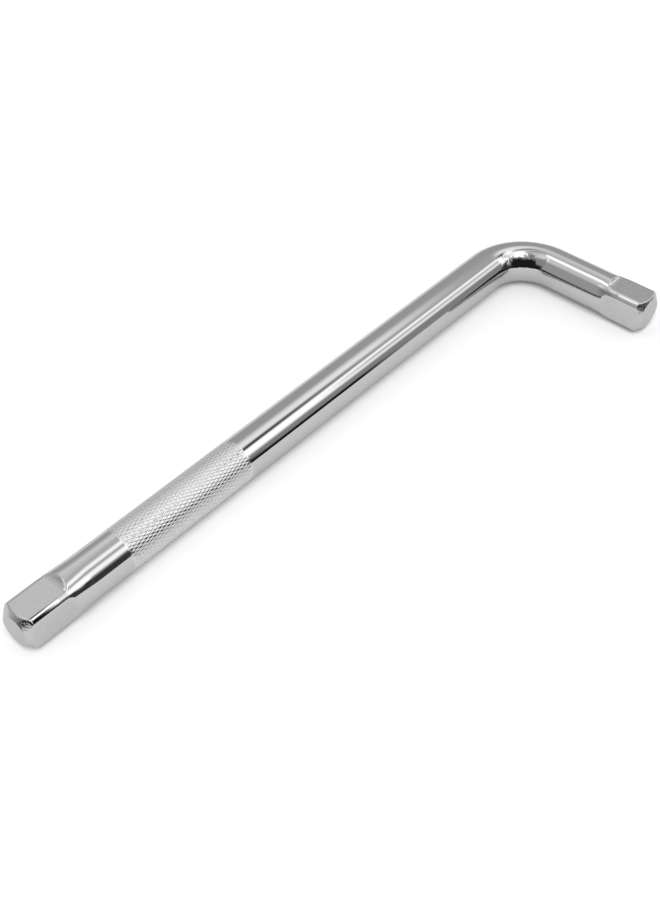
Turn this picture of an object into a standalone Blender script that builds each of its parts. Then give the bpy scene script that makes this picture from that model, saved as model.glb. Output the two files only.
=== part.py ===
"""L-handle socket wrench: one bent round bar with a half-inch drive square at each end.

The bar lies flat. Its long arm runs along X with its end at -X, the bend is at +X and the
short arm points to -Y. The origin is at the middle of the footprint, on the surface that
the bar lies on, and +Z is up. Lengths are in metres.

Each square holds a ball detent in its outer flat: a blind bore with a staked lip, a steel
ball that stands a little proud of the flat, and a coil spring that pushes it outwards.
"""

import math
from dataclasses import dataclass

import bmesh
import bpy
from mathutils import Matrix, Vector

# Driving dimensions of the bar
BAR_DIAMETER = 0.0150
LONG_LENGTH = 0.2508  # long end face to the outside of the short arm
SHORT_LENGTH = 0.0669  # short end face to the outside of the long arm
BEND_RADIUS = 0.0187  # to the bar's centreline
ACROSS_FLATS = 0.0127  # half-inch drive


@dataclass(frozen=True)
class SquareEnd:
    """Sizes of one drive square, all measured from its own end face."""

    corner_round: float  # radius of the square's rounded corners
    swell_start: float  # where the bar begins to swell
    swell_full: float  # where it has its full size across corners
    nose_length: float  # length of the turned chamfer at the end face
    nose_inset: float  # how far the chamfer draws in from the square's corners
    flat_length: float  # straight length of each milled flat
    run_out_radius: float  # the milling cutter's nose radius
    detent_distance: float  # end face to the middle of the ball


LONG_END = SquareEnd(
    corner_round=0.0025,
    swell_start=0.0270,
    swell_full=0.0130,
    nose_length=0.0025,
    nose_inset=0.0029,
    flat_length=0.0155,
    run_out_radius=0.0033,
    detent_distance=0.0085,
)
SHORT_END = SquareEnd(
    corner_round=0.00245,
    swell_start=0.0200,
    swell_full=0.0107,
    nose_length=0.0018,
    nose_inset=0.0023,
    flat_length=0.0143,
    run_out_radius=0.0024,
    detent_distance=0.0080,
)

# Knurled grip on the long arm: two families of grooves that cross into diamonds
KNURL_START = 0.0392  # long end face to the first diamonds
KNURL_STARTS = 36  # grooves of each family, round the bar
KNURL_DIAMONDS = 18  # diamonds in a row along the bar
DIAMOND_LENGTH = 0.0029
KNURL_DEPTH = 0.0002

# Ball detents
BALL_DIAMETER = 0.0050
BALL_PROTRUSION = 0.0009
BALL_CLEARANCE = 0.00025  # all round, in the bore and under the staked lip
LIP_DEPTH = 0.0006
BORE_DEPTH = 0.0096
SPRING_COIL_RADIUS = 0.0017  # to the wire's centreline
SPRING_WIRE_DIAMETER = 0.0005
SPRING_SEAT_GAP = 0.00025  # to the ball and to the bottom of the bore
SPRING_TURNS = 5

# How far each cutter stands out past what it cuts
CUTTER_OVERRUN = 0.0010

# Facet counts
BAR_SIDES = 2 * KNURL_STARTS  # a groove crossing and a diamond's top by turns
BEND_STEPS = 18
SWELL_STEPS = 5
NOSE_STEPS = 3
RUN_OUT_STEPS = 8
BALL_SEGMENTS = 24
BALL_RINGS = 14
BORE_SIDES = 32
LIP_STEPS = 3
SPRING_POINTS_PER_TURN = 12
SPRING_BEVEL_RESOLUTION = 1

SHARP_ANGLE = math.radians(25)

# Worked out from the sizes above
BAR_RADIUS = BAR_DIAMETER / 2
BALL_RADIUS = BALL_DIAMETER / 2
FLAT_HEIGHT = ACROSS_FLATS / 2  # a flat's distance from the bar's axis
BALL_DEPTH = BALL_RADIUS - BALL_PROTRUSION  # the ball's centre below the flat
LONG_AXIS_Y = SHORT_LENGTH / 2 - BAR_RADIUS
SHORT_AXIS_X = LONG_LENGTH / 2 - BAR_RADIUS
LONG_STRAIGHT = LONG_LENGTH - BAR_RADIUS - BEND_RADIUS
SHORT_STRAIGHT = SHORT_LENGTH - BAR_RADIUS - BEND_RADIUS
BEND_LENGTH = BEND_RADIUS * math.pi / 2

CHROME = {"colour": (0.78, 0.78, 0.80, 1.0), "roughness": 0.10}
BALL_STEEL = {"colour": (0.72, 0.72, 0.74, 1.0), "roughness": 0.18}
SPRING_STEEL = {"colour": (0.42, 0.42, 0.44, 1.0), "roughness": 0.35}


def metal(name, finish):
    """A Principled material for one piece."""
    material = bpy.data.materials.new(name)
    material.use_nodes = True
    shader = material.node_tree.nodes["Principled BSDF"]
    shader.inputs["Base Color"].default_value = finish["colour"]
    shader.inputs["Roughness"].default_value = finish["roughness"]
    shader.inputs["Metallic"].default_value = 1.0
    return material


def add_object(name, data, material=None, location=(0, 0, 0)):
    """Link a named object, at a place, with its material."""
    piece = bpy.data.objects.new(name, data)
    piece.location = location
    if material is not None:
        data.materials.append(material)
    bpy.context.collection.objects.link(piece)
    return piece


def smooth(mesh):
    """Shade the round faces smooth and keep the real edges sharp."""
    mesh.shade_smooth()
    mesh.set_sharp_from_angle(angle=SHARP_ANGLE)


def mesh_from_rings(name, rings, knurled_rows=range(0)):
    """A closed mesh through rings of points, with a flat cap at each end.

    Between knurled rows each cell is split from one groove crossing to the next, so every
    diamond is a low pyramid with a groove along each of its four sides.
    """
    form = bmesh.new()
    rows = [[form.verts.new(point) for point in ring] for ring in rings]
    count = len(rows[0])
    for row, (near, far) in enumerate(zip(rows, rows[1:])):
        for i in range(count):
            j = (i + 1) % count
            if row not in knurled_rows:
                form.faces.new((near[i], near[j], far[j], far[i]))
            elif is_crossing(row, i):
                form.faces.new((near[i], near[j], far[j]))
                form.faces.new((near[i], far[j], far[i]))
            else:
                form.faces.new((near[i], near[j], far[i]))
                form.faces.new((near[j], far[j], far[i]))
    form.faces.new(rows[0][::-1])
    form.faces.new(rows[-1])
    bmesh.ops.recalc_face_normals(form, faces=form.faces)
    mesh = bpy.data.meshes.new(name)
    form.to_mesh(mesh)
    form.free()
    return mesh


def ease(share):
    """Smooth step from 0 to 1."""
    share = min(max(share, 0.0), 1.0)
    return share * share * (3 - 2 * share)


def corner_reach(end):
    """Distance from the bar's axis to the middle of the square's rounded corner."""
    return math.sqrt(2) * (FLAT_HEIGHT - end.corner_round) + end.corner_round


def forged_radius(end):
    """Radius of the forged end between its corners, where the rounded corners meet the flats."""
    return math.hypot(FLAT_HEIGHT, FLAT_HEIGHT - end.corner_round)


def forged_reach(end, turn):
    """Reach of the forged end at an angle: a circle with a rounded corner in each quarter."""
    from_corner = turn % (math.pi / 2) - math.pi / 4
    core = math.sqrt(2) * (FLAT_HEIGHT - end.corner_round)  # to the middle of the rounding
    inside = end.corner_round**2 - (core * math.sin(from_corner)) ** 2
    rounding = core * math.cos(from_corner) + math.sqrt(max(inside, 0))
    return max(rounding, forged_radius(end))


def end_stations(end):
    """(distance from the end face, end, forged share, widest) of one end's rings, inwards.

    The share is how far the ring is forged from the round bar towards the square, and the
    nose's chamfer turns it down to the widest reach that it leaves.
    """
    corner = corner_reach(end)
    corner_share = (corner - forged_radius(end)) / end.nose_inset
    stations = [(0, end, 1, corner - end.nose_inset)]
    for step in range(NOSE_STEPS + 1):
        share = 1 - corner_share * (1 - step / NOSE_STEPS)
        widest = corner - end.nose_inset * (1 - share)
        stations.append((end.nose_length * share, end, 1, widest))
    for step in range(SWELL_STEPS + 1):
        share = step / SWELL_STEPS
        distance = end.swell_full + (end.swell_start - end.swell_full) * share
        stations.append((distance, end, 1 - ease(share), corner))
    return stations


def centreline(distance):
    """Point and outward side direction at a distance along the bar from its long end."""
    bend_distance = distance - LONG_STRAIGHT
    if bend_distance <= 0:
        return Vector((-LONG_LENGTH / 2 + distance, LONG_AXIS_Y, BAR_RADIUS)), Vector((0, 1, 0))
    if bend_distance >= BEND_LENGTH:
        run = bend_distance - BEND_LENGTH
        start_y = LONG_AXIS_Y - BEND_RADIUS
        return Vector((SHORT_AXIS_X, start_y - run, BAR_RADIUS)), Vector((1, 0, 0))
    angle = bend_distance / BEND_RADIUS
    side = Vector((math.sin(angle), math.cos(angle), 0))
    centre = Vector((SHORT_AXIS_X - BEND_RADIUS, LONG_AXIS_Y - BEND_RADIUS, BAR_RADIUS))
    return centre + side * BEND_RADIUS, side


def is_crossing(row, column):
    """Whether two grooves cross at this point of the knurl's grid; a diamond's top if not."""
    return (row + column) % 2 == 0


def bar_ring(distance, end=LONG_END, forged_share=0, widest=math.inf):
    """One ring of points round the bar, as far as its share forged to an end's square."""
    middle, side = centreline(distance)
    up = Vector((0, 0, 1))
    ring = []
    for i in range(BAR_SIDES):
        turn = 2 * math.pi * i / BAR_SIDES
        forged = forged_reach(end, turn)
        reach = min(BAR_RADIUS + (forged - BAR_RADIUS) * forged_share, widest)
        ring.append(middle + (side * math.cos(turn) + up * math.sin(turn)) * reach)
    return ring


def knurl_ring(distance, row):
    """One ring of the knurled grip, its points by turns on a diamond's top and in a crossing."""
    middle, _ = centreline(distance)
    crest = bar_ring(distance)
    share = 1 - KNURL_DEPTH / BAR_RADIUS
    return [
        middle + (point - middle) * (share if is_crossing(row, i) else 1)
        for i, point in enumerate(crest)
    ]


def make_bar_blank():
    """The forged, bent and knurled bar, before its flats are milled."""
    total = LONG_STRAIGHT + BEND_LENGTH + SHORT_STRAIGHT
    rings = [bar_ring(*station) for station in end_stations(LONG_END)]
    first_row = len(rings)
    rings.append(bar_ring(KNURL_START))
    knurl_steps = 2 * KNURL_DIAMONDS
    for step in range(1, knurl_steps):
        distance = KNURL_START + DIAMOND_LENGTH * step / 2
        rings.append(knurl_ring(distance, first_row + step))
    rings.append(bar_ring(KNURL_START + DIAMOND_LENGTH * KNURL_DIAMONDS))
    for step in range(BEND_STEPS + 1):
        distance = LONG_STRAIGHT + BEND_LENGTH * step / BEND_STEPS
        rings.append(bar_ring(distance))
    for distance, *form in reversed(end_stations(SHORT_END)):
        rings.append(bar_ring(total - distance, *form))
    knurled_rows = range(first_row, first_row + knurl_steps)
    return mesh_from_rings("handle_bar", rings, knurled_rows)


def end_frame(end):
    """Matrix of an end: local X runs from the end face into the bar, local Y is its outer side."""
    if end is LONG_END:
        origin = Vector((-LONG_LENGTH / 2, LONG_AXIS_Y, BAR_RADIUS))
        along, side = Vector((1, 0, 0)), Vector((0, 1, 0))
    else:
        origin = Vector((SHORT_AXIS_X, -SHORT_LENGTH / 2, BAR_RADIUS))
        along, side = Vector((0, 1, 0)), Vector((1, 0, 0))
    up = along.cross(side)
    frame = Matrix((along, side, up)).transposed().to_4x4()
    frame.translation = origin
    return frame


def make_flat_cutter(name, end):
    """A milling cutter's sweep over one flat: a slab with a rounded inner end.

    In the end's frame the slab lies above local Y = FLAT_HEIGHT. Its inner end climbs as an
    arc of the cutter's nose radius, so the flat runs out of the round bar in a scoop.
    """
    top = max(corner_reach(end), BAR_RADIUS) + CUTTER_OVERRUN
    outline = [(-CUTTER_OVERRUN, FLAT_HEIGHT)]
    climb = min(top - FLAT_HEIGHT, end.run_out_radius)
    last_angle = math.acos(1 - climb / end.run_out_radius)
    for step in range(RUN_OUT_STEPS + 1):
        angle = last_angle * step / RUN_OUT_STEPS
        outline.append(
            (
                end.flat_length + end.run_out_radius * math.sin(angle),
                FLAT_HEIGHT + end.run_out_radius * (1 - math.cos(angle)),
            )
        )
    outline += [(outline[-1][0], top + CUTTER_OVERRUN), (-CUTTER_OVERRUN, top + CUTTER_OVERRUN)]
    half_width = top
    rings = [[(x, y, z) for x, y in outline] for z in (-half_width, half_width)]
    return mesh_from_rings(name, rings)


def ball_section(depth):
    """Radius of the ball's section at a depth below the flat."""
    return math.sqrt(max(BALL_RADIUS**2 - (BALL_DEPTH - depth) ** 2, 0))


def make_bore_cutter(name):
    """The detent's blind bore, turned about local Y, with the staked lip's narrower mouth."""
    mouth = ball_section(0) + BALL_CLEARANCE
    bore_radius = BALL_RADIUS + BALL_CLEARANCE
    profile = [(-CUTTER_OVERRUN, mouth)]
    for step in range(LIP_STEPS + 1):
        depth = LIP_DEPTH * step / LIP_STEPS
        profile.append((depth, ball_section(depth) + BALL_CLEARANCE))
    profile += [(LIP_DEPTH + BALL_CLEARANCE, bore_radius), (BORE_DEPTH, bore_radius)]
    rings = []
    for depth, radius in profile:
        turns = (2 * math.pi * i / BORE_SIDES for i in range(BORE_SIDES))
        rings.append([(radius * math.cos(t), -depth, radius * math.sin(t)) for t in turns])
    return mesh_from_rings(name, rings)


def cut(piece, cutter):
    """Subtract a cutter from a piece and hide the cutter."""
    cutter.display_type = "WIRE"
    cutter.hide_render = True
    modifier = piece.modifiers.new(cutter.name, "BOOLEAN")
    modifier.operation = "DIFFERENCE"
    modifier.solver = "EXACT"
    modifier.object = cutter


def make_square(bar, end, label):
    """Mill four flats on one end of the bar and sink its detent's bore."""
    frame = end_frame(end)
    mesh = make_flat_cutter(f"{label}_flat_cutter", end)
    for quarter in range(4):
        cutter = add_object(f"{label}_flat_cutter_{quarter + 1}", mesh)
        cutter.matrix_world = frame @ Matrix.Rotation(quarter * math.pi / 2, 4, "X")
        cut(bar, cutter)
    bore = add_object(f"{label}_bore_cutter", make_bore_cutter(f"{label}_bore_cutter"))
    bore.matrix_world = frame @ Matrix.Translation((end.detent_distance, FLAT_HEIGHT, 0))
    cut(bar, bore)


def make_ball(end, label):
    """A detent ball, with its origin at its centre, on the axis that it slides along."""
    form = bmesh.new()
    bmesh.ops.create_uvsphere(
        form, u_segments=BALL_SEGMENTS, v_segments=BALL_RINGS, radius=BALL_RADIUS
    )
    mesh = bpy.data.meshes.new(f"{label}_detent_ball")
    form.to_mesh(mesh)
    form.free()
    mesh.shade_smooth()
    centre = end_frame(end) @ Vector((end.detent_distance, FLAT_HEIGHT - BALL_DEPTH, 0))
    material = metal(f"{label}_detent_ball", BALL_STEEL)
    return add_object(f"{label}_detent_ball", mesh, material, centre)


def spring_span():
    """Depths below the flat of the first and last points of the spring's centreline."""
    wire_radius = SPRING_WIRE_DIAMETER / 2
    reach = BALL_RADIUS + wire_radius + SPRING_SEAT_GAP
    first = BALL_DEPTH + math.sqrt(reach**2 - SPRING_COIL_RADIUS**2)
    last = BORE_DEPTH - wire_radius - SPRING_SEAT_GAP
    return first, last


def make_spring(end, label):
    """The coil spring between the ball and the bottom of its bore, one wire on a helix."""
    first, last = spring_span()
    curve = bpy.data.curves.new(f"{label}_detent_spring", "CURVE")
    curve.dimensions = "3D"
    curve.bevel_depth = SPRING_WIRE_DIAMETER / 2
    curve.bevel_resolution = SPRING_BEVEL_RESOLUTION
    curve.use_fill_caps = True
    count = SPRING_TURNS * SPRING_POINTS_PER_TURN + 1
    helix = curve.splines.new("POLY")
    helix.points.add(count - 1)
    for i, point in enumerate(helix.points):
        turn = 2 * math.pi * i / SPRING_POINTS_PER_TURN
        depth = first + (last - first) * i / (count - 1)
        x, z = SPRING_COIL_RADIUS * math.cos(turn), SPRING_COIL_RADIUS * math.sin(turn)
        point.co = (x, -depth, z, 1)
    spring = add_object(f"{label}_detent_spring", curve, metal(f"{label}_spring", SPRING_STEEL))
    spring.matrix_world = end_frame(end) @ Matrix.Translation((end.detent_distance, FLAT_HEIGHT, 0))
    gap = (last - first) / SPRING_TURNS - SPRING_WIRE_DIAMETER
    print(f"{spring.name}: {gap * 1000:.2f} mm between its turns")
    return spring


def main():
    for old in list(bpy.data.objects):
        bpy.data.objects.remove(old, do_unlink=True)
    blank = make_bar_blank()
    smooth(blank)
    bar = add_object("handle_bar", blank, metal("handle_bar", CHROME))
    for end, label in ((LONG_END, "long_square"), (SHORT_END, "short_square")):
        make_square(bar, end, label)
        make_ball(end, label)
        make_spring(end, label)


main()
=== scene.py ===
"""L-handle socket wrench: the pieces that show, their finishes and a plain studio.

The bar, its two drive squares, the knurled grip and the ball detents are surfaces worked
out from the sizes in the property groups below. Lengths are in metres, +Z is up, and the
handle lies flat with its long arm along X, its end at -X, and the short arm towards -Y.
"""

import math
from dataclasses import dataclass

import bpy
import numpy as np
from bpy.props import FloatProperty, FloatVectorProperty, IntProperty, PointerProperty
from bpy.types import Operator, Panel, PropertyGroup
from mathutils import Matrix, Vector


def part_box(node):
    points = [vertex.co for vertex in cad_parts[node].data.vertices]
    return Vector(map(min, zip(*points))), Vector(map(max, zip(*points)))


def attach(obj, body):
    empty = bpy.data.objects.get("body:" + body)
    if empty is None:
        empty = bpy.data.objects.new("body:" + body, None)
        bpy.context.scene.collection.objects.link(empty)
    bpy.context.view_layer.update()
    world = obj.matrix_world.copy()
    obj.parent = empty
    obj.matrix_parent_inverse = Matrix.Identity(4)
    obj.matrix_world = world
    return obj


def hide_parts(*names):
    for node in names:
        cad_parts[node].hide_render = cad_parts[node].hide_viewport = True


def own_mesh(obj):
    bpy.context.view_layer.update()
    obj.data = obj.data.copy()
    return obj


bl_info = {
    "name": "L-handle socket wrench",
    "version": (1, 0, 0),
    "blender": (4, 5, 0),
    "location": "3D View > Sidebar > Wrench",
    "description": "Makes a chrome plated L-handle with two drive squares and a knurled grip",
    "category": "Add Mesh",
}

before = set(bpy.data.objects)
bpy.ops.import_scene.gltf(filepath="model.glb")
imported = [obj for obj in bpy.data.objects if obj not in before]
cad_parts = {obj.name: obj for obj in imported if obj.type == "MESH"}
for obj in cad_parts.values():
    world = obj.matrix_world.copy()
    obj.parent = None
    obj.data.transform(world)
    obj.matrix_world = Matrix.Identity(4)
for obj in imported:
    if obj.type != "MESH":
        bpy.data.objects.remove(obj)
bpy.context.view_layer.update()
low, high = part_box("handle_bar")

# How finely each surface is divided. The rings of a stretch count those at both of its ends.
COLUMNS_PER_HALF_DIAMOND = 3
NOSE_RINGS = 18
NOSE_TO_BORE_RINGS = 5
BORE_TO_RUN_OUT_RINGS = 6
RUN_OUT_ROW = 0.0001
SWELL_RINGS = 12
NECK_RINGS = 9
PLAIN_ARM_RINGS = 13
BEND_RINGS = 61
LIP_RINGS = 5
FACE_SHARES = (0.85, 0.6, 0.3)
BORE_BLOCK_COLUMNS = 10  # each side of the flat's middle
BORE_BLOCK_ROWS = 16
BORE_BLOCK_HALF_LENGTH = 0.0029
BORE_BLOCK_MARGIN = 0.000001  # so that rounding leaves no row out
BALL_COLUMNS = 72
BALL_ROWS = 36
WIRE_SIDES = 14
WIRE_POINTS_PER_TURN = 36
SHARP_ANGLE = math.radians(38)

# Columns crowd to a square's corners as far as this from its end face, and are even again
# where the grip or the bend starts
CORNER_CROWDING = math.radians(8)
LONG_CROWDED_LENGTH = 0.020
SHORT_CROWDED_LENGTH = 0.018

# Forms too fine for the panel: the grooves' narrowness, the rounding of a bore's rim, the
# share of that at which the rounding turns, and the rings of a bore's flat bottom
GROOVE_NARROWNESS = 4.4
RIM_ROUND = 0.00006
RIM_MIDDLE = 0.35
BOTTOM_SHARES = (0.6, 0.2)

# The hill of waves that the press left inside the bend: its top and its slope along the
# bend, and its top, its fall and its middle round the bar, in radians
PRESS_TOP_ALONG = 1.4
PRESS_SLOPE_ALONG = 2.2
PRESS_TOP_AROUND = 1.6
PRESS_FALL_AROUND = 0.35
PRESS_ANGLE = 2.4

# The floor's half width, and the distances at which its shadows start to lighten for the
# eye and are gone
FLOOR_REACH = 3.0
SHADOWS_LIGHTEN = 0.35
SHADOWS_GONE = 0.9

UP = np.array([0.0, 0.0, 1.0])
NEAR_AXIS = 0.0001  # so that a direction along an axis isn't divided by nothing


def length_property(name, description, default):
    return FloatProperty(
        name=name, description=description, default=default, min=0.0, unit="LENGTH", precision=5
    )


def share_property(name, description, default):
    return FloatProperty(
        name=name, description=description, default=default, min=0.0, max=1.0, subtype="FACTOR"
    )


def colour_property(name, description, default):
    return FloatVectorProperty(
        name=name, description=description, default=default, size=3, min=0.0, max=1.0,
        subtype="COLOR",
    )


class WrenchBarSizes(PropertyGroup):
    """Sizes of the bent bar."""

    diameter: length_property("Bar diameter", "Thickness of the round bar", high.z - low.z)
    long_length: length_property(
        "Long length", "Long end face to the outside of the short arm", high.x - low.x
    )
    short_length: length_property(
        "Short length", "Short end face to the outside of the long arm", high.y - low.y
    )
    bend_radius: length_property("Bend radius", "Radius of the bend's centreline", 0.0187)
    across_flats: length_property("Across flats", "Width of both drive squares", 0.0127)


# Both drive squares' sizes, measured from their end faces, the long arm's before the short's
SQUARE_SIZES = (
    ("corner_round", "Corner radius", "Radius of the rounded corners", 0.0025, 0.00245),
    ("swell_start", "Swell start", "Where the bar begins to swell", 0.027, 0.020),
    ("swell_full", "Swell full", "Where the swell is complete", 0.013, 0.0107),
    ("nose_length", "Nose length", "Length of the chamfer at the end face", 0.0025, 0.0018),
    ("nose_inset", "Nose inset", "How far the chamfer draws in", 0.0029, 0.0023),
    ("flat_length", "Flat length", "Straight length of each flat", 0.0155, 0.0143),
    ("run_out_radius", "Run-out radius", "Nose radius of the cutter", 0.0033, 0.0024),
    ("edge_round", "Edge rounding", "How far the flats' edges are rounded", 0.0005, 0.00035),
    ("nose_round", "Nose rounding", "How far the chamfer's edge is rounded", 0.0003, 0.0003),
    ("detent_distance", "Detent distance", "End face to the ball's middle", 0.0085, 0.008),
)


def square_properties(arm):
    """One square's properties, from the first or the second column of its sizes."""
    return {
        name: length_property(title, description, sizes[arm])
        for name, title, description, *sizes in SQUARE_SIZES
    }


class WrenchLongSquareSizes(PropertyGroup):
    """Sizes of the drive square on the long arm."""

    __annotations__ = square_properties(0)


class WrenchShortSquareSizes(PropertyGroup):
    """Sizes of the drive square on the short arm."""

    __annotations__ = square_properties(1)


class WrenchKnurlSizes(PropertyGroup):
    """Sizes of the knurled grip."""

    start: length_property("Knurl start", "Long end face to the first diamonds", 0.0392)
    starts: IntProperty(
        name="Starts", description="Grooves of each family round the bar", default=36, min=8
    )
    diamonds: IntProperty(
        name="Diamonds", description="Diamonds in a row along the bar", default=18, min=1
    )
    diamond_length: length_property("Diamond length", "Length of one diamond", 0.0029)
    depth: length_property("Groove depth", "Depth of the knurl's grooves", 0.00008)
    fade: length_property("Run-in", "Length in which the grooves reach their depth", 0.0012)


class WrenchDetentSizes(PropertyGroup):
    """Sizes of the two ball detents."""

    ball_diameter: length_property("Ball diameter", "Diameter of each ball", 0.005)
    protrusion: length_property("Protrusion", "How far a ball stands out of its flat", 0.0009)
    clearance: length_property("Clearance", "Gap round the ball", 0.00025)
    lip_depth: length_property("Lip depth", "Depth of the staked lip", 0.0006)
    bore_depth: length_property("Bore depth", "Depth of the blind bore", 0.0096)
    coil_radius: length_property("Coil radius", "Spring's axis to its wire's middle", 0.0017)
    wire_diameter: length_property("Wire diameter", "Thickness of the spring's wire", 0.0005)
    seat_gap: length_property("Seat gap", "Gap at each end of the spring", 0.00025)
    turns: IntProperty(name="Turns", description="Turns of each spring", default=5, min=2)


class WrenchFinishes(PropertyGroup):
    """Colours and polish of the three metals."""

    chrome: colour_property("Chrome", "Colour of the chrome plate", (0.503, 0.5, 0.502))
    polish: share_property("Bar roughness", "Roughness of the polished bar", 0.025)
    ground: share_property("Flat roughness", "Roughness of the ground flats", 0.24)
    frosted_chrome: colour_property(
        "Groove chrome", "Colour of the chrome in the knurl's grooves", (0.74, 0.735, 0.738)
    )
    frosted: share_property("Groove roughness", "Roughness in the knurl's grooves", 0.5)
    ball: colour_property("Ball steel", "Colour of the detent balls", (0.48, 0.48, 0.5))
    ball_roughness: share_property("Ball roughness", "Roughness of the balls", 0.12)
    spring: colour_property("Spring steel", "Colour of the springs", (0.15, 0.15, 0.165))
    spring_roughness: share_property("Spring roughness", "Roughness of the wire", 0.35)


class WrenchStudio(PropertyGroup):
    """The camera, floor and light."""

    camera_place: FloatVectorProperty(
        name="Camera", description="Where the camera stands", size=3, subtype="TRANSLATION",
        default=(-0.24764, -0.19987, 0.31413),
    )
    camera_aim: FloatVectorProperty(
        name="Aim", description="What the camera looks at", size=3, subtype="TRANSLATION",
        default=(-0.01084, 0.00677, 0.0075),
    )
    lens: FloatProperty(name="Lens", description="Focal length in mm", default=54.29, min=1.0)
    floor_colour: colour_property("Floor", "Colour of the paper floor", (0.9, 0.9, 0.9))
    floor_lift: share_property(
        "Shadow lift", "How far the floor's shadows are lightened for the eye", 0.05
    )
    room_light: FloatProperty(
        name="Room light", description="Level of the even light from all sides", default=0.75,
        min=0.0,
    )
    lamp_power: FloatProperty(
        name="Lamp power", description="Power of the soft lamp", default=30.0, min=0.0,
        unit="POWER",
    )
    lamp_size: length_property("Lamp size", "Diameter of the soft lamp", 1.5)
    lamp_place: FloatVectorProperty(
        name="Lamp", description="Where the soft lamp hangs", size=3, subtype="TRANSLATION",
        default=(-0.75, -0.75, 2.0),
    )


@dataclass(frozen=True)
class Grain:
    """A noise in a finish: its scale to the metre, its detail, its relief in metres."""

    scale: float
    detail: float
    height: float = 0.0


NOISE_RANGE = (0.3, 0.7)  # where most values of a noise lie
CHROME_HAZE = Grain(90.0, 4.0)
CHROME_HAZE_ROUGHNESS = (-0.008, 0.012)
CHROME_EDGE_TINT = (0.8, 0.8, 0.8, 1)
GRINDING_MOTTLE = Grain(900.0, 3.0)
GRINDING_MOTTLE_ROUGHNESS = (-0.05, 0.05)
GRINDING_GRAIN = Grain(1500.0, 3.0, 0.00001)
GRINDING_GRAIN_STRENGTH = 0.6
POLISH_RIPPLE = Grain(260.0, 1.0, 0.00001)
POLISH_RIPPLE_STRENGTH = 0.15
PRESS_WAVES = Grain(700.0, 2.0, 0.0001)
TURNING_MARKS = Grain(2200.0, 2.0, 0.0001)
FROST_POWER = 0.8
BALL_HAZE = Grain(1400.0, 4.0)
BALL_HAZE_SHARES = (0.6, 1.5)  # of the ball's roughness
WIRE_PATCHES = Grain(1800.0, 3.0)
WIRE_PATCH_SHARES = (0.75, 1.2)  # of the spring's colour


@dataclass(frozen=True)
class Card:
    """A light or dark area that the chrome reflects.

    It spans a turn about one axis, in degrees, and a stretch along that axis, as a component
    of the direction. Turns about X start at +Y and rise to +Z, turns about Y start at +X and
    rise to +Z, and turns about Z go from +X to +Y. A strip about X mirrors as a band along
    the long arm, a strip about Y as one along the short arm.
    """

    name: str
    axis: str
    turn: float
    half_turn: float
    soft_turn: float
    start: float
    stop: float
    soft: float
    level: float


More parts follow.
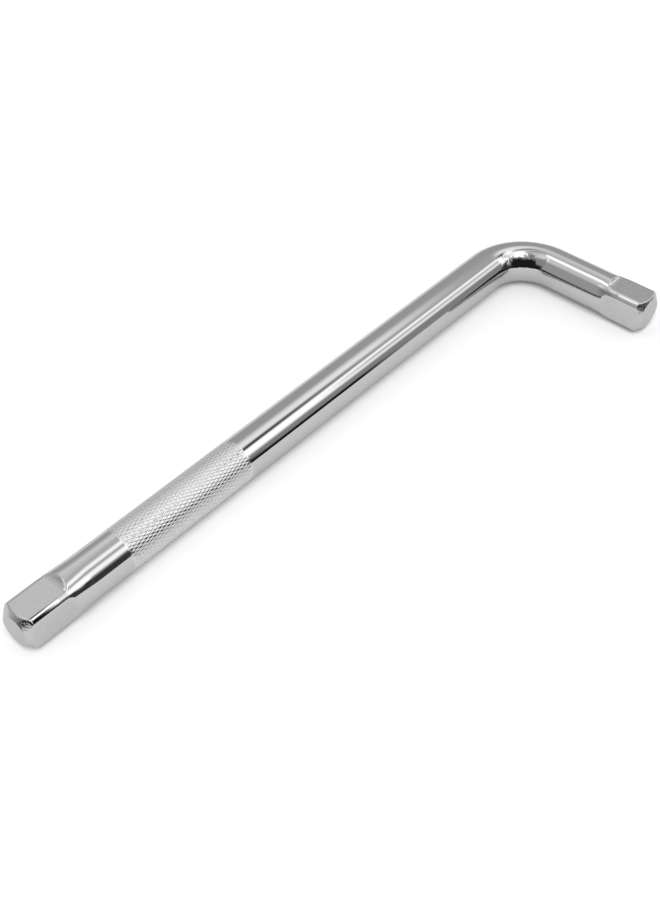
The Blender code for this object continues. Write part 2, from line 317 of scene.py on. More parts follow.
# What the chrome sees where there is no card, and the cards, each over those before it
ROOM_LEVEL = 0.86
CARDS = (
    Card("white paper below the horizon", "Z", 0, 181, 1, -1.1, -0.02, 0.02, 1.0),
    Card("dark room", "Z", -138, 54, 9, -0.13, 0.81, 0.1, 0.025),
    Card("dark room, right", "Z", 281, 9, 6, -0.13, 0.45, 0.05, 0.04),
    Card("side wall", "Z", 150, 12, 9, -0.07, 0.71, 0.09, 0.34),
    Card("side wall, low", "Z", 130, 16, 8, -0.07, 0.4, 0.06, 0.95),
    Card("overhead tent, front", "Z", -65, 55, 12, 0.86, 0.99, 0.02, 3.2),
    Card("overhead tent, back", "Z", 137, 56, 15, 0.88, 0.99, 0.07, 1.6),
    Card("overhead seam", "Z", 200, 13, 8, 0.9, 0.975, 0.012, 0.3),
    Card("backdrop", "X", 15, 54, 30, 0.3, 1.2, 0.05, 0.74),
    Card("rear glow, far", "X", 81, 18, 16, 0.4, 0.63, 0.05, 1.85),
    Card("gap between tent and softbox", "X", 101, 7.5, 6, 0.3, 0.58, 0.09, 0.08),
    Card("front softbox, far", "X", 132, 21, 6, 0.38, 1.2, 0.01, 2.6),
    Card("softbox seam", "X", 127, 7, 7, 0.57, 1.2, 0.03, 1.15),
    Card("front wall", "X", 161, 20, 9, 0.43, 1.2, 0.05, 0.5),
    Card("front wall, bend", "X", 148, 17, 8, 0.04, 0.45, 0.04, 0.45),
    Card("table's dark edge", "X", 175, 8, 3, 0.47, 0.6, 0.02, 0.01),
    Card("rear glow, near", "X", 52, 16, 16, 0.26, 0.47, 0.03, 1.45),
    Card("upper gap, near", "X", 72, 6, 5.5, 0.21, 0.425, 0.015, 0.45),
    Card("front softbox, near", "X", 120, 34, 5, 0.17, 0.47, 0.03, 2.5),
    Card("front softbox, neck", "X", 118, 33, 7, 0.21, 0.41, 0.01, 2.3),
    Card("softbox shade, near", "X", 84, 8, 7, 0.21, 0.41, 0.015, 1.0),
    Card("lower gap, near", "X", 115.5, 6.5, 8, 0.21, 0.44, 0.01, 0.72),
    Card("softbox's lower edge, neck", "X", 149, 5, 7, 0.21, 0.41, 0.015, 0.6),
    Card("dark front, knurl's far end", "X", 168, 9, 4, 0.44, 0.5, 0.015, 0.03),
    Card("dark front, knurl", "X", 165, 16, 5, 0.4, 0.44, 0.01, 0.08),
    Card("dark front, neck", "X", 167, 17, 7, 0.25, 0.405, 0.01, 0.08),
    Card("near corner, white", "X", 124, 21, 5, 0.3, 0.345, 0.005, 2.8),
    Card("near corner, dark line", "X", 80, 15, 5, 0.3, 0.33, 0.004, 0.05),
    Card("dark front, near", "X", 160, 25, 4, 0.25, 0.335, 0.008, 0.02),
    Card("left wall", "Y", 155, 30, 14, 0.2, 0.46, 0.05, 0.68),
    Card("left wall, bend", "Y", 137, 18, 8, -0.14, 0.3, 0.05, 0.55),
    Card("left glow", "Y", 112, 10, 12, 0.3, 0.48, 0.03, 1.25),
    Card("left softbox", "Y", 92, 7, 6, 0.3, 0.48, 0.03, 2.7),
    Card("left softbox, low", "Y", 116, 12, 5, 0.324, 0.354, 0.005, 2.2),
    Card("left softbox, low start", "Y", 117, 7, 5, 0.4, 0.48, 0.02, 1.5),
    Card("left wall, low", "Y", 139, 10, 6, 0.324, 0.354, 0.005, 0.85),
    Card("left gap", "Y", 70, 6, 5, 0.24, 1.2, 0.07, 1.25),
    Card("left table edge", "Y", 184, 8, 7.5, 0.29, 1.2, 0.05, 0.14),
)


def settings():
    """The scene's own settings of this wrench."""
    return bpy.context.scene.l_handle_wrench


def ease(share):
    """Smooth step from 0 to 1: three times the square less twice the cube."""
    share = np.clip(share, 0, 1)
    return share * share * (3 - 2 * share)


def rounded_min(a, b, rounding):
    """The lesser of two distances, with their meeting rounded over a given height.

    Where they differ by less than that, the share missing to it is squared, and a quarter
    of the height times that is taken off.
    """
    overlap = np.maximum(rounding - np.abs(a - b), 0) / rounding
    return np.minimum(a, b) - overlap * overlap * rounding / 4


def add_piece(name, points, quads, triangles, material, body, slot, replaced):
    """A mesh object from whole arrays of points, four-sided and three-sided faces.

    Points that no face uses are left out, and the numbers of the others are returned.
    """
    mesh = bpy.data.meshes.new(name)
    corners = np.concatenate([np.ravel(quads), np.ravel(triangles)]).astype(np.int32)
    used, corners = np.unique(corners, return_inverse=True)
    starts = np.concatenate(
        [np.arange(len(quads)) * 4, len(quads) * 4 + np.arange(len(triangles)) * 3]
    )
    mesh.vertices.add(len(used))
    mesh.vertices.foreach_set("co", np.ravel(points[used]).astype(np.float32))
    mesh.loops.add(len(corners))
    mesh.loops.foreach_set("vertex_index", np.ravel(corners).astype(np.int32))
    mesh.polygons.add(len(starts))
    mesh.polygons.foreach_set("loop_start", starts.astype(np.int32))
    mesh.update(calc_edges=True)
    if mesh.validate():
        raise RuntimeError(f"{name} has faces that are not valid")
    mesh.shade_smooth()
    mesh.set_sharp_from_angle(angle=SHARP_ANGLE)
    mesh.materials.append(material)
    piece = bpy.data.objects.new(name, mesh)
    bpy.context.scene.collection.objects.link(piece)
    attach(piece, body)
    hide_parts(replaced)
    return piece, used


def grid_quads(rows, columns):
    """Faces of a grid that closes round its columns, as an array of rows by columns by 4."""
    row, column = np.meshgrid(np.arange(rows - 1), np.arange(columns), indexing="ij")
    beside = (column + 1) % columns
    here, ahead = row * columns, (row + 1) * columns
    return np.stack([here + column, here + beside, ahead + beside, ahead + column], axis=-1)


def fan(ring, centre, inward):
    """Triangles from a ring of point numbers to one point, facing either way along it."""
    beside = np.roll(ring, -1)
    middle = np.full_like(ring, centre)
    order = [ring, beside, middle] if inward else [beside, ring, middle]
    return np.stack(order, axis=-1)


def closed_grid(rows, columns):
    """Faces of a grid that closes round its columns and, by a fan to a point, at each end.

    The two points are numbered after the grid's own.
    """
    total = rows * columns
    ends = [
        fan(np.arange(columns), total, inward=False),
        fan(np.arange(total - columns, total), total + 1, inward=True),
    ]
    return grid_quads(rows, columns).reshape(-1, 4), np.concatenate(ends)


class BarShape:
    """The bar's surface as a distance from its axis, over length and angle.

    The length runs along the bent centreline from the long end face. The angle turns from
    the bend's outer side, at 0, over the top.
    """

    def __init__(self, scene):
        self.bar = scene.bar
        self.knurl = scene.knurl
        self.radius = self.bar.diameter / 2
        self.flat_height = self.bar.across_flats / 2
        self.bend_length = self.bar.bend_radius * math.pi / 2
        self.long_straight = self.bar.long_length - self.radius - self.bar.bend_radius
        self.short_straight = self.bar.short_length - self.radius - self.bar.bend_radius
        self.total = self.long_straight + self.bend_length + self.short_straight
        self.axis_y = self.bar.short_length / 2 - self.radius
        self.axis_x = self.bar.long_length / 2 - self.radius

    def centreline(self, length):
        """Points of the centreline and their outward side directions.

        Straight along X, then a quarter circle, then straight along -Y.
        """
        turn = np.clip((length - self.long_straight) / self.bar.bend_radius, 0, math.pi / 2)
        side = np.stack([np.sin(turn), np.cos(turn), np.zeros_like(turn)], axis=-1)
        before = np.minimum(length - self.long_straight, 0)
        after = np.maximum(length - self.long_straight - self.bend_length, 0)
        centre = np.stack(
            [
                self.axis_x - self.bar.bend_radius + before,
                self.axis_y - self.bar.bend_radius - after,
                np.full_like(length, self.radius),
            ],
            axis=-1,
        )
        return centre + side * self.bar.bend_radius, side

    def blank(self, end, distance, angle):
        """Reach of the forged and turned bar before milling, and how much of it is turned.

        A circle that swells by the sine squared of twice the angle, towards the square's
        four corners, turned down over the nose by a cone whose edge is rounded.
        """
        corner = math.sqrt(2) * (self.flat_height - end.corner_round) + end.corner_round
        swollen = 1 - ease((distance - end.swell_full) / (end.swell_start - end.swell_full))
        forged = self.radius + (corner - self.radius) * swollen * np.sin(2 * angle) ** 2
        cone = corner - end.nose_inset * (1 - distance / end.nose_length)
        return rounded_min(forged, cone, end.nose_round), ease((forged - cone) / end.nose_round)

    def milled(self, end, distance, angle):
        """Reach of the four milled planes: their height over the cosine of the angle.

        Past the flat's length the height climbs as an arc of the cutter's nose radius.
        """
        past = np.clip((distance - end.flat_length) / end.run_out_radius, 0, 1)
        height = self.flat_height + end.run_out_radius * (1 - np.sqrt(1 - past**2))
        quarter = np.round(angle / (math.pi / 2)) * (math.pi / 2)
        return height / np.cos(angle - quarter)

    def off_grooves(self, length, angle):
        """How far a point is from the nearest groove of each family, in diamonds.

        A family's phase is the length in diamonds plus or less the angle in starts, and its
        grooves run where the phase is whole.
        """
        along = (length - self.knurl.start) / self.knurl.diamond_length
        around = angle * self.knurl.starts / (2 * math.pi)
        return [np.abs(phase - np.round(phase)) for phase in (along + around, along - around)]

    def grooves(self, length, angle):
        """How much of each point is groove: the more of two families of helical grooves.

        The share falls evenly from 1 in a groove's middle, by the narrowness times the
        distance in diamonds. It fades out at both ends of the grip.
        """
        knurl = self.knurl
        last = knurl.start + knurl.diamonds * knurl.diamond_length
        share = 1 - GROOVE_NARROWNESS * np.minimum(*self.off_grooves(length, angle))
        run_in = ease((length - knurl.start) / knurl.fade)
        return np.maximum(share, 0) * run_in * ease((last - length) / knurl.fade)

    def first_family_nearer(self, length, angle):
        """Whether the nearest groove at a point belongs to the first family."""
        first, second = self.off_grooves(length, angle)
        return first < second

    def pressed(self, length, angle):
        """How much the press left waves at each point: a hill inside the bend.

        Along the bend its height is the top less the slope times the share of the bend's
        length from the middle, and round the bar the top less the angle over the fall.
        """
        along = np.abs((length - self.long_straight) / self.bend_length - 0.5)
        around = np.abs(angle - PRESS_ANGLE) / PRESS_FALL_AROUND
        return ease(PRESS_TOP_ALONG - PRESS_SLOPE_ALONG * along) * ease(PRESS_TOP_AROUND - around)

    def surface(self, scene, length, angle):
        """Reach of the finished bar, and how much of it is ground, turned and groove.

        A groove's depth goes with the cube of its share, so that its flanks round off.
        """
        from_long, from_short = length, self.total - length
        reach = np.full(np.broadcast(length, angle).shape, self.radius)
        ground, turned = np.zeros_like(reach), np.zeros_like(reach)
        for end, distance in ((scene.long_square, from_long), (scene.short_square, from_short)):
            near = np.broadcast_to(distance < self.knurl.start, reach.shape)
            blank, nose = self.blank(end, distance, angle)
            milled = self.milled(end, distance, angle)
            reach = np.where(near, rounded_min(blank, milled, end.edge_round), reach)
            cut = ease((blank - milled) / end.edge_round)
            ground = np.where(near, cut, ground)
            turned = np.where(near, nose * (1 - cut), turned)
        groove = self.grooves(length, angle)
        return reach - self.knurl.depth * groove**3, ground, turned, groove

    def rows(self, scene):
        """Lengths of the rings, close together wherever the bar's outline turns.

        With them come the number of the grip's first ring and its number of rows.
        """
        knurl = self.knurl
        knurl_end = knurl.start + knurl.diamonds * knurl.diamond_length
        knurl_rows = 2 * COLUMNS_PER_HALF_DIAMOND * knurl.diamonds
        bend_start = self.long_straight
        first = self.end_rows(scene.long_square, knurl.start)
        last = self.total - self.end_rows(scene.short_square, self.short_straight)[::-1]
        middle = [
            np.linspace(knurl.start, knurl_end, knurl_rows + 1)[1:-1],
            np.linspace(knurl_end, bend_start, PLAIN_ARM_RINGS)[:-1],
            np.linspace(bend_start, bend_start + self.bend_length, BEND_RINGS)[:-1],
        ]
        return np.concatenate([first, *middle, last]), len(first) - 1, knurl_rows

    def end_rows(self, end, stop):
        """Distances from an end face of that end's rings, up to a stop."""
        nose_stop = end.nose_length + end.nose_round
        block = end.detent_distance + np.linspace(
            -BORE_BLOCK_HALF_LENGTH, BORE_BLOCK_HALF_LENGTH, BORE_BLOCK_ROWS + 1
        )
        run_out_stop = end.flat_length + end.run_out_radius
        run_out_start = end.flat_length - 2 * end.edge_round
        run_out_rows = round((run_out_stop - run_out_start) / RUN_OUT_ROW)
        return np.concatenate(
            [
                np.linspace(0, nose_stop, NOSE_RINGS)[:-1],
                np.linspace(nose_stop, block[0], NOSE_TO_BORE_RINGS)[:-1],
                block,
                np.linspace(block[-1], run_out_start, BORE_TO_RUN_OUT_RINGS)[1:-1],
                np.linspace(run_out_start, run_out_stop, run_out_rows),
                np.linspace(run_out_stop, end.swell_start, SWELL_RINGS)[1:],
                np.linspace(end.swell_start, stop, NECK_RINGS)[1:],
            ]
        )

    def angles(self, length, columns):
        """Angles of the columns: even on the knurl, crowded to the corners on the squares.

        A column's angle is its even share of the turn plus the sine of four times that.
        """
        even = np.arange(columns) * 2 * math.pi / columns
        crowding = np.zeros_like(length)
        for distance, crowded, stop in (
            (length, LONG_CROWDED_LENGTH, self.knurl.start),
            (self.total - length, SHORT_CROWDED_LENGTH, self.short_straight),
        ):
            crowding += CORNER_CROWDING * (1 - ease((distance - crowded) / (stop - crowded)))
        return even + crowding[:, None] * np.sin(4 * even)

    def place(self, length, angle, reach):
        """Points round the centreline: its own point plus the reach times a direction.

        The direction is the cosine of the angle to the outer side and its sine upwards.
        """
        centre, side = self.centreline(length)
        out = side[:, None] * np.cos(angle)[..., None] + UP * np.sin(angle)[..., None]
        return centre[:, None] + out * reach[..., None]


def ball_section(detent, depth):
    """Radius of the ball's section at a depth below the flat.

    It is the root of the ball's radius squared less the distance to its middle squared.
    """
    ball_radius = detent.ball_diameter / 2
    below = ball_radius - detent.protrusion - depth
    return np.sqrt(np.maximum(ball_radius**2 - below**2, 0))


def bore_profile(detent):
    """Depths and radii of the detent's seat, from the flat down to the bore's bottom.

    The mouth has a rounded rim, the lip follows the ball at the clearance, and the bore
    below is straight, with a flat bottom.
    """
    lip = np.linspace(0, detent.lip_depth, LIP_RINGS)
    mouth = ball_section(detent, lip) + detent.clearance
    bore_radius = detent.ball_diameter / 2 + detent.clearance
    profile = [
        (0.0, (BORE_BLOCK_HALF_LENGTH + mouth[0]) / 2),
        (0.0, mouth[0] + 3 * RIM_ROUND),
        (0.0, mouth[0] + RIM_ROUND),
        (RIM_MIDDLE * RIM_ROUND, mouth[0] + RIM_MIDDLE * RIM_ROUND),
        (RIM_ROUND, mouth[0]),
        *zip(lip[1:], mouth[1:]),
        (detent.lip_depth + detent.clearance, bore_radius),
        (detent.bore_depth, bore_radius),
        *((detent.bore_depth, share * bore_radius) for share in BOTTOM_SHARES),
    ]
    return np.array(profile).T


def detent_place(scene, short):
    """A detent's name and square, and the point where its axis leaves the outer flat.

    With them come the directions into the bar along its arm and out of the flat.
    """
    shape = BarShape(scene)
    along_x, along_y = np.array([1.0, 0.0, 0.0]), np.array([0.0, 1.0, 0.0])
    if short:
        label, end, inward, side = "short_square", scene.short_square, along_y, along_x
        face = np.array([shape.axis_x, -shape.bar.short_length / 2, shape.radius])
    else:
        label, end, inward, side = "long_square", scene.long_square, along_x, along_y
        face = np.array([-shape.bar.long_length / 2, shape.axis_y, shape.radius])
    middle = face + inward * end.detent_distance + side * shape.flat_height
    return label, end, middle, inward, side


class BarSkin:
    """The bar's mesh in the making: a grid of rings, and the points and faces added to it."""

    def __init__(self, scene):
        self.scene = scene
        self.shape = BarShape(scene)
        self.columns = 2 * COLUMNS_PER_HALF_DIAMOND * scene.knurl.starts
        self.lengths, knurl_row, knurl_rows = self.shape.rows(scene)
        self.angles = self.shape.angles(self.lengths, self.columns)
        length = self.lengths[:, None]
        reach, ground, turned, groove = self.shape.surface(scene, length, self.angles)
        wavy = self.shape.pressed(length, self.angles)
        self.shares = {"ground": ground, "turned": turned, "groove": groove, "wavy": wavy}
        self.rings = self.shape.place(self.lengths, self.angles, reach)
        self.points = [self.rings.reshape(-1, 3)]
        self.total = reach.size
        self.numbers = np.arange(self.total).reshape(reach.shape)
        self.keep = np.ones((len(self.lengths) - 1, self.columns), bool)
        self.knurled = np.zeros_like(self.keep)
        self.knurled[knurl_row : knurl_row + knurl_rows] = True
        self.quads, self.triangles = [], []

    def close(self, edge, rings, centre, inward=True):
        """Carry an edge of point numbers over further rings, and close the last at a point."""
        new = self.total + np.arange(rings[..., 0].size).reshape(rings.shape[:2])
        stack = np.vstack([edge, new])
        before, after = stack[:-1], stack[1:]
        cells = [before, np.roll(before, -1, 1), np.roll(after, -1, 1), after]
        if not inward:
            cells = [before, after, np.roll(after, -1, 1), np.roll(before, -1, 1)]
        self.quads.append(np.stack(cells, axis=-1).reshape(-1, 4))
        self.triangles.append(fan(new[-1], new[-1, -1] + 1, inward))
        self.points += [rings.reshape(-1, 3), centre[None]]
        self.total += new.size + 1

    def close_end(self, short):
        """A flat end face, of rings that draw in to its middle."""
        row = len(self.lengths) - 1 if short else 0
        centre = self.shape.centreline(self.lengths[row : row + 1])[0][0]
        rings = centre + (self.rings[row] - centre) * np.array(FACE_SHARES)[:, None, None]
        self.close(self.numbers[row], rings, centre, inward=short)

    def let_in_bore(self, short):
        """A bore in the outer flat, in place of a block of the grid.

        Each point of the block's edge goes down the profile at its own turn round the
        bore's axis: up by the cosine and along the bar by the sine.
        """
        _, end, middle, inward, side = detent_place(self.scene, short)
        step = -inward if short else inward
        distance = self.shape.total - self.lengths if short else self.lengths
        reach = BORE_BLOCK_HALF_LENGTH + BORE_BLOCK_MARGIN
        rows = np.flatnonzero(np.abs(distance - end.detent_distance) < reach)
        columns = np.arange(-BORE_BLOCK_COLUMNS, BORE_BLOCK_COLUMNS + 1) % self.columns
        block = self.numbers[np.ix_(rows, columns)]
        self.keep[np.ix_(rows[:-1], columns[:-1])] = False
        edge = np.concatenate([block[0], block[-1], block[1:-1, 0], block[1:-1, -1]])
        offset = self.points[0][edge] - middle
        turn = np.arctan2(offset @ step, offset @ UP)
        order = np.argsort(turn)
        edge, turn = edge[order], turn[order]
        depths, radii = bore_profile(self.scene.detent)
        out = UP * np.cos(turn)[:, None] + step * np.sin(turn)[:, None]
        rings = middle - side * depths[:, None, None] + radii[:, None, None] * out
        self.close(edge, rings, middle - side * depths[-1])

    def faces(self):
        """Four-sided and three-sided faces. The grip's cells are cut along their groove."""
        quads = grid_quads(len(self.lengths), self.columns)
        cell_length = (self.lengths[:-1] + self.lengths[1:])[:, None] / 2
        cell_angle = (self.angles[:-1] + self.angles[1:]) / 2 + math.pi / self.columns
        falling = self.knurled & self.shape.first_family_nearer(cell_length, cell_angle)
        rising = self.knurled & ~falling
        triangles = [
            quads[falling][:, [0, 1, 3]],
            quads[falling][:, [1, 2, 3]],
            quads[rising][:, [0, 1, 2]],
            quads[rising][:, [0, 2, 3]],
        ]
        plain = quads[self.keep & ~self.knurled]
        return np.concatenate([plain, *self.quads]), np.concatenate(triangles + self.triangles)


def make_bar(scene):
    """The bent bar, closed at its end faces, with the two bores let in.

    Each point keeps how much it is ground, turned, grooved and wavy, for the finish.
    """
    skin = BarSkin(scene)
    for short in (False, True):
        skin.close_end(short)
    for short in (False, True):
        skin.let_in_bore(short)
    quads, triangles = skin.faces()
    bar, used = add_piece(
        "chrome_bar", np.concatenate(skin.points), quads, triangles,
        chrome_material(scene.finishes), "handle", "bar_chrome", "handle_bar",
    )
    for label, share in skin.shares.items():
        added = np.full(skin.total - share.size, 1.0 if label == "ground" else 0.0)
        values = np.concatenate([share.ravel(), added])[used]
        attribute = bar.data.attributes.new(label, "FLOAT", "POINT")
        attribute.data.foreach_set("value", values.astype(np.float32))


def make_ball(scene, short):
    """A sphere on a grid of latitude and longitude, closed by a fan at each pole."""
    label, _, middle, _, side = detent_place(scene, short)
    radius = scene.detent.ball_diameter / 2
    centre = middle - side * (radius - scene.detent.protrusion)
    latitude = np.linspace(-math.pi / 2, math.pi / 2, BALL_ROWS + 1)[1:-1, None]
    longitude = np.arange(BALL_COLUMNS)[None] * 2 * math.pi / BALL_COLUMNS
    across = [np.cos(latitude) * np.cos(longitude), np.cos(latitude) * np.sin(longitude)]
    unit = np.stack([*across, np.sin(latitude) + 0 * longitude], axis=-1).reshape(-1, 3)
    points = centre + radius * np.concatenate([unit, [-UP, UP]])
    add_piece(
        f"{label}_ball", points, *closed_grid(BALL_ROWS - 1, BALL_COLUMNS),
        ball_material(scene.finishes), "short_ball" if short else "long_ball",
        "ball_steel", f"{label}_detent_ball",
    )


def make_spring(scene, short):
    """A round wire carried along a helix behind the ball, with a flat cap at each end.

    A point of the helix lies at the coil radius, turned by the angle, and its depth grows
    evenly with the angle. The wire's circle is square to the helix's own direction.
    """
    label, _, middle, inward, side = detent_place(scene, short)
    detent = scene.detent
    wire = detent.wire_diameter / 2
    ball_radius = detent.ball_diameter / 2
    reach = ball_radius + wire + detent.seat_gap
    sunk = ball_radius - detent.protrusion
    first = sunk + math.sqrt(reach**2 - detent.coil_radius**2)
    last = detent.bore_depth - wire - detent.seat_gap
    count = detent.turns * WIRE_POINTS_PER_TURN + 1
    turn = np.linspace(0, 2 * math.pi * detent.turns, count)
    out = inward * np.cos(turn)[:, None] + UP * np.sin(turn)[:, None]
    ahead = UP * np.cos(turn)[:, None] - inward * np.sin(turn)[:, None]
    pitch = (last - first) / turn[-1]
    tangent = ahead * detent.coil_radius - side * pitch
    tangent /= np.linalg.norm(tangent, axis=1, keepdims=True)
    across = np.cross(tangent, out)
    depth = first + pitch * turn
    line = middle - side * depth[:, None] + out * detent.coil_radius
    round_turn = np.arange(WIRE_SIDES)[:, None] * 2 * math.pi / WIRE_SIDES
    ring = out[:, None] * np.cos(round_turn) + across[:, None] * np.sin(round_turn)
    points = (line[:, None] + wire * ring).reshape(-1, 3)
    points = np.concatenate([points, line[:1], line[-1:]])
    quads, triangles = closed_grid(count, WIRE_SIDES)
    facing = np.dot(np.cross(ring[0, 0], ring[0, 1]), tangent[0])
    if facing > 0:
        quads, triangles = quads[:, ::-1], triangles[:, ::-1]
    spring, _ = add_piece(
        f"{label}_spring", points, quads, triangles, spring_material(scene.finishes),
        "handle", "spring_steel", f"{label}_detent_spring",
    )
    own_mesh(spring)


def new_material(name):
    """A material and its node tree."""
    material = bpy.data.materials.new(name)
    material.use_nodes = True
    return material, material.node_tree


def new_metal(name):
    """A metal's material, its node tree, its shader and its object coordinates."""
    material, tree = new_material(name)
    shader = tree.nodes["Principled BSDF"]
    shader.inputs["Metallic"].default_value = 1.0
    return material, tree, shader, tree.nodes.new("ShaderNodeTexCoord").outputs["Object"]


def feed(tree, value, socket):
    """Give a socket a number, a colour or another socket's value."""
    if isinstance(value, bpy.types.NodeSocket):
        tree.links.new(value, socket)
    else:
        socket.default_value = value


def noise(tree, coordinates, grain):
    """A grain's noise on object coordinates."""
    texture = tree.nodes.new("ShaderNodeTexNoise")
    texture.inputs["Scale"].default_value = grain.scale
    texture.inputs["Detail"].default_value = grain.detail
    tree.links.new(coordinates, texture.inputs["Vector"])
    return texture.outputs["Fac"]


def mapped(tree, value, given, wanted, smooth=False):
    """A value brought from one range to another, evenly or over a smooth step."""
    node = tree.nodes.new("ShaderNodeMapRange")
    node.interpolation_type = "SMOOTHSTEP" if smooth else "LINEAR"
    for label, limit in zip(("From Min", "From Max", "To Min", "To Max"), (*given, *wanted)):
        node.inputs[label].default_value = limit
    tree.links.new(value, node.inputs["Value"])
    return node.outputs["Result"]


def patches(tree, coordinates, grain, spread):
    """A grain's noise, brought to a spread of values."""
    return mapped(tree, noise(tree, coordinates, grain), NOISE_RANGE, spread)


def math_node(tree, operation, *values):
    """A math node whose inputs are sockets or numbers."""
    node = tree.nodes.new("ShaderNodeMath")
    node.operation = operation
    for socket, value in zip(node.inputs, values):
        feed(tree, value, socket)
    return node.outputs["Value"]


def mixed(tree, share, a, b, data_type="FLOAT"):
    """One value that turns into another as a share goes from 0 to 1."""
    mix = tree.nodes.new("ShaderNodeMix")
    mix.data_type = data_type
    for label, value in (("Factor", share), ("A", a), ("B", b)):
        feed(tree, value, mix.inputs[label])
    return mix.outputs["Result"]


def set_surface(tree, output, share, under, over):
    """Make one shader, covered by another to a share, the surface of a material or world."""
    mix = tree.nodes.new("ShaderNodeMixShader")
    for value, socket in zip((share, under.outputs[0], over.outputs[0]), mix.inputs):
        tree.links.new(value, socket)
    tree.links.new(mix.outputs["Shader"], tree.nodes[output].inputs["Surface"])


def share_of(tree, name):
    """One of the bar's own shares, from 0 to 1, that its finish follows."""
    share = tree.nodes.new("ShaderNodeAttribute")
    share.attribute_name = name
    return share.outputs["Fac"]


def relief(tree, coordinates, grain, strength, under=None):
    """A grain's noise as a bump, over the bump under it if there is one."""
    bump = tree.nodes.new("ShaderNodeBump")
    bump.inputs["Distance"].default_value = grain.height
    feed(tree, strength, bump.inputs["Strength"])
    tree.links.new(noise(tree, coordinates, grain), bump.inputs["Height"])
    if under is not None:
        tree.links.new(under, bump.inputs["Normal"])
    return bump.outputs["Normal"]


def chrome_material(finishes):
    """Bright chrome over polished steel.

    It is satin where the flats were ground, frosted in the knurl's grooves, wavy inside the
    bend, where the bar was pressed, and holds the turning tool's marks on each nose.
    """
    material, tree, shader, coordinates = new_metal("chrome_plate")
    shader.inputs["Specular Tint"].default_value = CHROME_EDGE_TINT
    ground, groove, turned, wavy = (
        share_of(tree, name) for name in ("ground", "groove", "turned", "wavy")
    )
    haze = patches(tree, coordinates, CHROME_HAZE, CHROME_HAZE_ROUGHNESS)
    mottle = patches(tree, coordinates, GRINDING_MOTTLE, GRINDING_MOTTLE_ROUGHNESS)
    polished = math_node(tree, "ADD", haze, finishes.polish)
    satin = math_node(tree, "ADD", mottle, finishes.ground)
    deep = math_node(tree, "POWER", groove, FROST_POWER)
    roughness = mixed(tree, ground, polished, satin)
    roughness = mixed(tree, deep, roughness, finishes.frosted)
    tree.links.new(roughness, shader.inputs["Roughness"])
    chrome, frosted_chrome = (*finishes.chrome, 1), (*finishes.frosted_chrome, 1)
    tone = mixed(tree, deep, chrome, frosted_chrome, "RGBA")
    tree.links.new(tone, shader.inputs["Base Color"])

    ground_strength = math_node(tree, "MULTIPLY", ground, GRINDING_GRAIN_STRENGTH)
    normal = relief(tree, coordinates, PRESS_WAVES, wavy)
    normal = relief(tree, coordinates, POLISH_RIPPLE, POLISH_RIPPLE_STRENGTH, normal)
    normal = relief(tree, coordinates, GRINDING_GRAIN, ground_strength, normal)
    normal = relief(tree, coordinates, TURNING_MARKS, turned, normal)
    tree.links.new(normal, shader.inputs["Normal"])
    return material


def ball_material(finishes):
    """Hardened steel ball with a faint haze."""
    material, tree, shader, coordinates = new_metal("hardened_ball_steel")
    shader.inputs["Base Color"].default_value = (*finishes.ball, 1)
    spread = [finishes.ball_roughness * share for share in BALL_HAZE_SHARES]
    tree.links.new(patches(tree, coordinates, BALL_HAZE, spread), shader.inputs["Roughness"])
    return material


def spring_material(finishes):
    """Plain drawn spring wire, darker in patches."""
    material, tree, shader, coordinates = new_metal("spring_wire_steel")
    shader.inputs["Roughness"].default_value = finishes.spring_roughness
    dark, bright = (
        (*(share * tone for tone in finishes.spring), 1) for share in WIRE_PATCH_SHARES
    )
    tone = mixed(tree, noise(tree, coordinates, WIRE_PATCHES), dark, bright, "RGBA")
    tree.links.new(tone, shader.inputs["Base Color"])
    return material


def in_mirrors(tree, path):
    """1 for rays that come from a mirror or through glass, and 0 for others."""
    return math_node(
        tree, "MAXIMUM", path.outputs["Is Glossy Ray"], path.outputs["Is Transmission Ray"]
    )


def make_floor(studio):
    """White paper floor.

    Its shadows are lightened for the eye and in reflections, a little near the handle and
    fully far from it, where the lamp's light falls off.
    """
    reach = FLOOR_REACH
    mesh = bpy.data.meshes.new("paper_floor")
    corners = [(-reach, -reach, 0), (reach, -reach, 0), (reach, reach, 0), (-reach, reach, 0)]
    mesh.from_pydata(corners, [], [(0, 1, 2, 3)])
    floor = bpy.data.objects.new("paper_floor", mesh)
    bpy.context.scene.collection.objects.link(floor)
    material, tree = new_material("white_paper")
    tree.nodes.remove(tree.nodes["Principled BSDF"])
    paper = tree.nodes.new("ShaderNodeBsdfDiffuse")
    paper.inputs["Color"].default_value = (*studio.floor_colour, 1)
    white = tree.nodes.new("ShaderNodeEmission")
    away = tree.nodes.new("ShaderNodeVectorMath")
    away.operation = "LENGTH"
    tree.links.new(tree.nodes.new("ShaderNodeTexCoord").outputs["Object"], away.inputs[0])
    fading, lifts = (SHADOWS_LIGHTEN, SHADOWS_GONE), (studio.floor_lift, 1.0)
    lift = mapped(tree, away.outputs["Value"], fading, lifts)
    path = tree.nodes.new("ShaderNodeLightPath")
    seen = math_node(tree, "MAXIMUM", path.outputs["Is Camera Ray"], in_mirrors(tree, path))
    set_surface(
        tree, "Material Output", math_node(tree, "MULTIPLY", seen, lift), paper, white
    )
    mesh.materials.append(material)


def soft_step(tree, value, middle, soft, rising=True):
    """0 to 1 over a soft edge, or 1 to 0 where it falls."""
    levels = (0.0, 1.0) if rising else (1.0, 0.0)
    return mapped(tree, value, (middle - soft, middle + soft), levels, smooth=True)


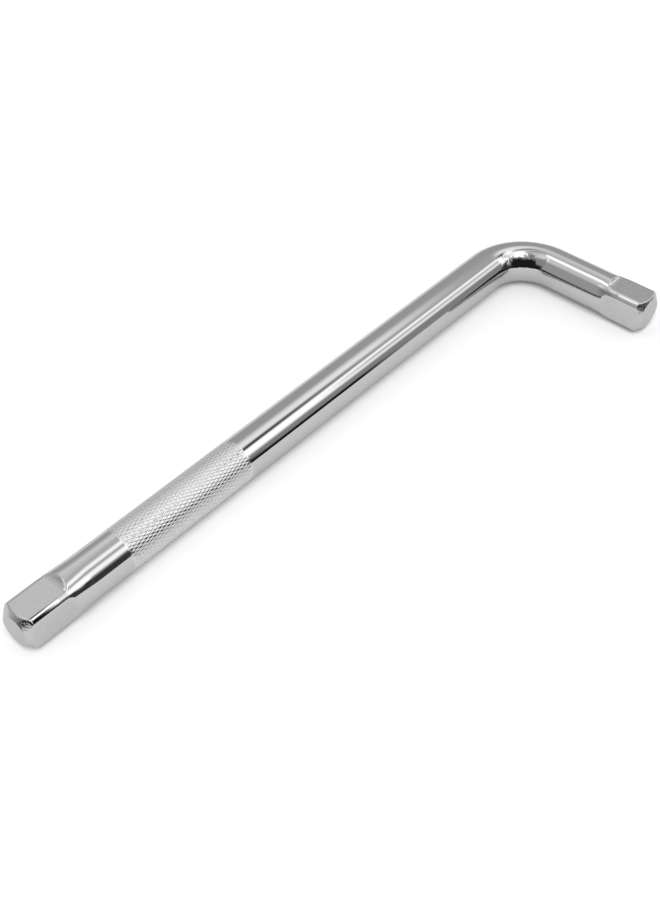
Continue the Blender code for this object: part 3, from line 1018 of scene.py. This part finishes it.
def card_tone(tree, below, bearings, card):
    """The tone below a card, changed to the card's level inside its soft-edged window.

    The turn from the card's middle is the arc cosine of the direction's two components
    across the axis times the cosine and the sine of the card's turn.
    """
    ahead, left, along = bearings[card.axis]
    turn = math.radians(card.turn)
    facing = math_node(
        tree, "ADD",
        math_node(tree, "MULTIPLY", ahead, math.cos(turn)),
        math_node(tree, "MULTIPLY", left, math.sin(turn)),
    )
    facing = math_node(tree, "MINIMUM", facing, 1.0)
    facing = math_node(tree, "MAXIMUM", facing, -1.0)
    turned = math_node(tree, "ARCCOSINE", facing)
    half, soft = math.radians(card.half_turn), math.radians(card.soft_turn)
    window = soft_step(tree, turned, half, soft, rising=False)
    for value, rising in ((card.start, True), (card.stop, False)):
        edge = soft_step(tree, along, value, card.soft, rising)
        window = math_node(tree, "MULTIPLY", window, edge)
    tone = mixed(tree, window, below, card.level)
    tone.node.label = card.name
    return tone


def turn_about(tree, first, second, along):
    """The direction's two components across an axis, made unit length, and the one along it."""
    squares = [math_node(tree, "MULTIPLY", part, part) for part in (first, second)]
    across = math_node(tree, "SQRT", math_node(tree, "ADD", *squares))
    across = math_node(tree, "MAXIMUM", across, NEAR_AXIS)
    return *(math_node(tree, "DIVIDE", part, across) for part in (first, second)), along


def make_world(studio):
    """Even light on everything, and a light tent with soft cards for mirrors to see."""
    world = bpy.data.worlds.new("studio")
    world.use_nodes = True
    bpy.context.scene.world = world
    tree = world.node_tree
    direction = tree.nodes.new("ShaderNodeSeparateXYZ")
    tree.links.new(tree.nodes.new("ShaderNodeTexCoord").outputs["Generated"], direction.inputs[0])
    x, y, z = direction.outputs
    bearings = {
        "X": turn_about(tree, y, z, x),
        "Y": turn_about(tree, x, z, y),
        "Z": turn_about(tree, x, y, z),
    }
    tone = ROOM_LEVEL
    for card in CARDS:
        tone = card_tone(tree, tone, bearings, card)
    mirrored = tree.nodes.new("ShaderNodeBackground")
    tree.links.new(tone, mirrored.inputs["Strength"])
    path = tree.nodes.new("ShaderNodeLightPath")
    even = tree.nodes["Background"]
    even.inputs["Color"].default_value = (1, 1, 1, 1)
    level = mixed(tree, path.outputs["Is Camera Ray"], studio.room_light, 1.0)
    tree.links.new(level, even.inputs["Strength"])
    set_surface(tree, "World Output", in_mirrors(tree, path), even, mirrored)


def aim(thing, place, target):
    """Put an object at a place with its -Z axis towards a target."""
    thing.location = place
    thing.rotation_euler = (Vector(target) - Vector(place)).to_track_quat("-Z", "Y").to_euler()
    bpy.context.scene.collection.objects.link(thing)


def make_lamp(studio):
    """A large soft lamp in front of and above the handle, left out of its reflections."""
    light = bpy.data.lights.new("soft_lamp", "AREA")
    light.shape = "DISK"
    light.size = studio.lamp_size
    light.energy = studio.lamp_power
    lamp = bpy.data.objects.new("soft_lamp", light)
    lamp.visible_glossy = False
    aim(lamp, studio.lamp_place, (0.0, 0.0, 0.0))


def make_camera(studio):
    """The camera, at the photograph's place and angle."""
    data = bpy.data.cameras.new("camera")
    data.lens = studio.lens
    data.clip_start = 0.01
    camera = bpy.data.objects.new("camera", data)
    aim(camera, studio.camera_place, studio.camera_aim)
    bpy.context.scene.camera = camera


class WRENCH_OT_bar(Operator):
    """Make the chrome plated bar with its squares, knurl and bores"""

    bl_idname = "wrench.bar"
    bl_label = "Make Bar"

    def execute(self, context):
        make_bar(settings())
        return {"FINISHED"}


class WRENCH_OT_balls(Operator):
    """Make the ball of each detent"""

    bl_idname = "wrench.balls"
    bl_label = "Make Detent Balls"

    def execute(self, context):
        for short in (False, True):
            make_ball(settings(), short)
        return {"FINISHED"}


class WRENCH_OT_springs(Operator):
    """Make the spring behind each ball"""

    bl_idname = "wrench.springs"
    bl_label = "Make Detent Springs"

    def execute(self, context):
        for short in (False, True):
            make_spring(settings(), short)
        return {"FINISHED"}


class WRENCH_OT_studio(Operator):
    """Make the floor, lamp, surroundings and camera"""

    bl_idname = "wrench.studio"
    bl_label = "Make Studio"

    def execute(self, context):
        studio = settings().studio
        make_floor(studio)
        make_world(studio)
        make_lamp(studio)
        make_camera(studio)
        context.scene.view_settings.view_transform = "Standard"
        return {"FINISHED"}


class WRENCH_PT_panel(Panel):
    """The wrench's sizes, finishes and making steps"""

    bl_idname = "WRENCH_PT_panel"
    bl_label = "L-Handle Socket Wrench"
    bl_space_type = "VIEW_3D"
    bl_region_type = "UI"
    bl_category = "Wrench"

    def draw(self, context):
        scene = settings()
        for group, title in GROUPS:
            box = self.layout.box()
            box.label(text=title)
            values = getattr(scene, group)
            for name in values.bl_rna.properties.keys():
                if name not in ("rna_type", "name"):
                    box.prop(values, name)
        for operator in OPERATORS:
            self.layout.operator(operator.bl_idname)


class WrenchSettings(PropertyGroup):
    """Everything that a user can change."""

    bar: PointerProperty(type=WrenchBarSizes)
    long_square: PointerProperty(type=WrenchLongSquareSizes)
    short_square: PointerProperty(type=WrenchShortSquareSizes)
    knurl: PointerProperty(type=WrenchKnurlSizes)
    detent: PointerProperty(type=WrenchDetentSizes)
    finishes: PointerProperty(type=WrenchFinishes)
    studio: PointerProperty(type=WrenchStudio)


GROUPS = (
    ("bar", "Bar"),
    ("long_square", "Long square"),
    ("short_square", "Short square"),
    ("knurl", "Knurled grip"),
    ("detent", "Ball detents"),
    ("finishes", "Finishes"),
    ("studio", "Studio"),
)
OPERATORS = (WRENCH_OT_bar, WRENCH_OT_balls, WRENCH_OT_springs, WRENCH_OT_studio)
CLASSES = (
    WrenchBarSizes, WrenchLongSquareSizes, WrenchShortSquareSizes, WrenchKnurlSizes,
    WrenchDetentSizes, WrenchFinishes, WrenchStudio, WrenchSettings, *OPERATORS, WRENCH_PT_panel,
)


def register():
    for item in CLASSES:
        bpy.utils.register_class(item)
    bpy.types.Scene.l_handle_wrench = PointerProperty(type=WrenchSettings)


def unregister():
    del bpy.types.Scene.l_handle_wrench
    for item in reversed(CLASSES):
        bpy.utils.unregister_class(item)


def main():
    register()
    bpy.ops.wrench.bar()
    bpy.ops.wrench.balls()
    bpy.ops.wrench.springs()
    bpy.ops.wrench.studio()


if __name__ == "__main__":
    main()
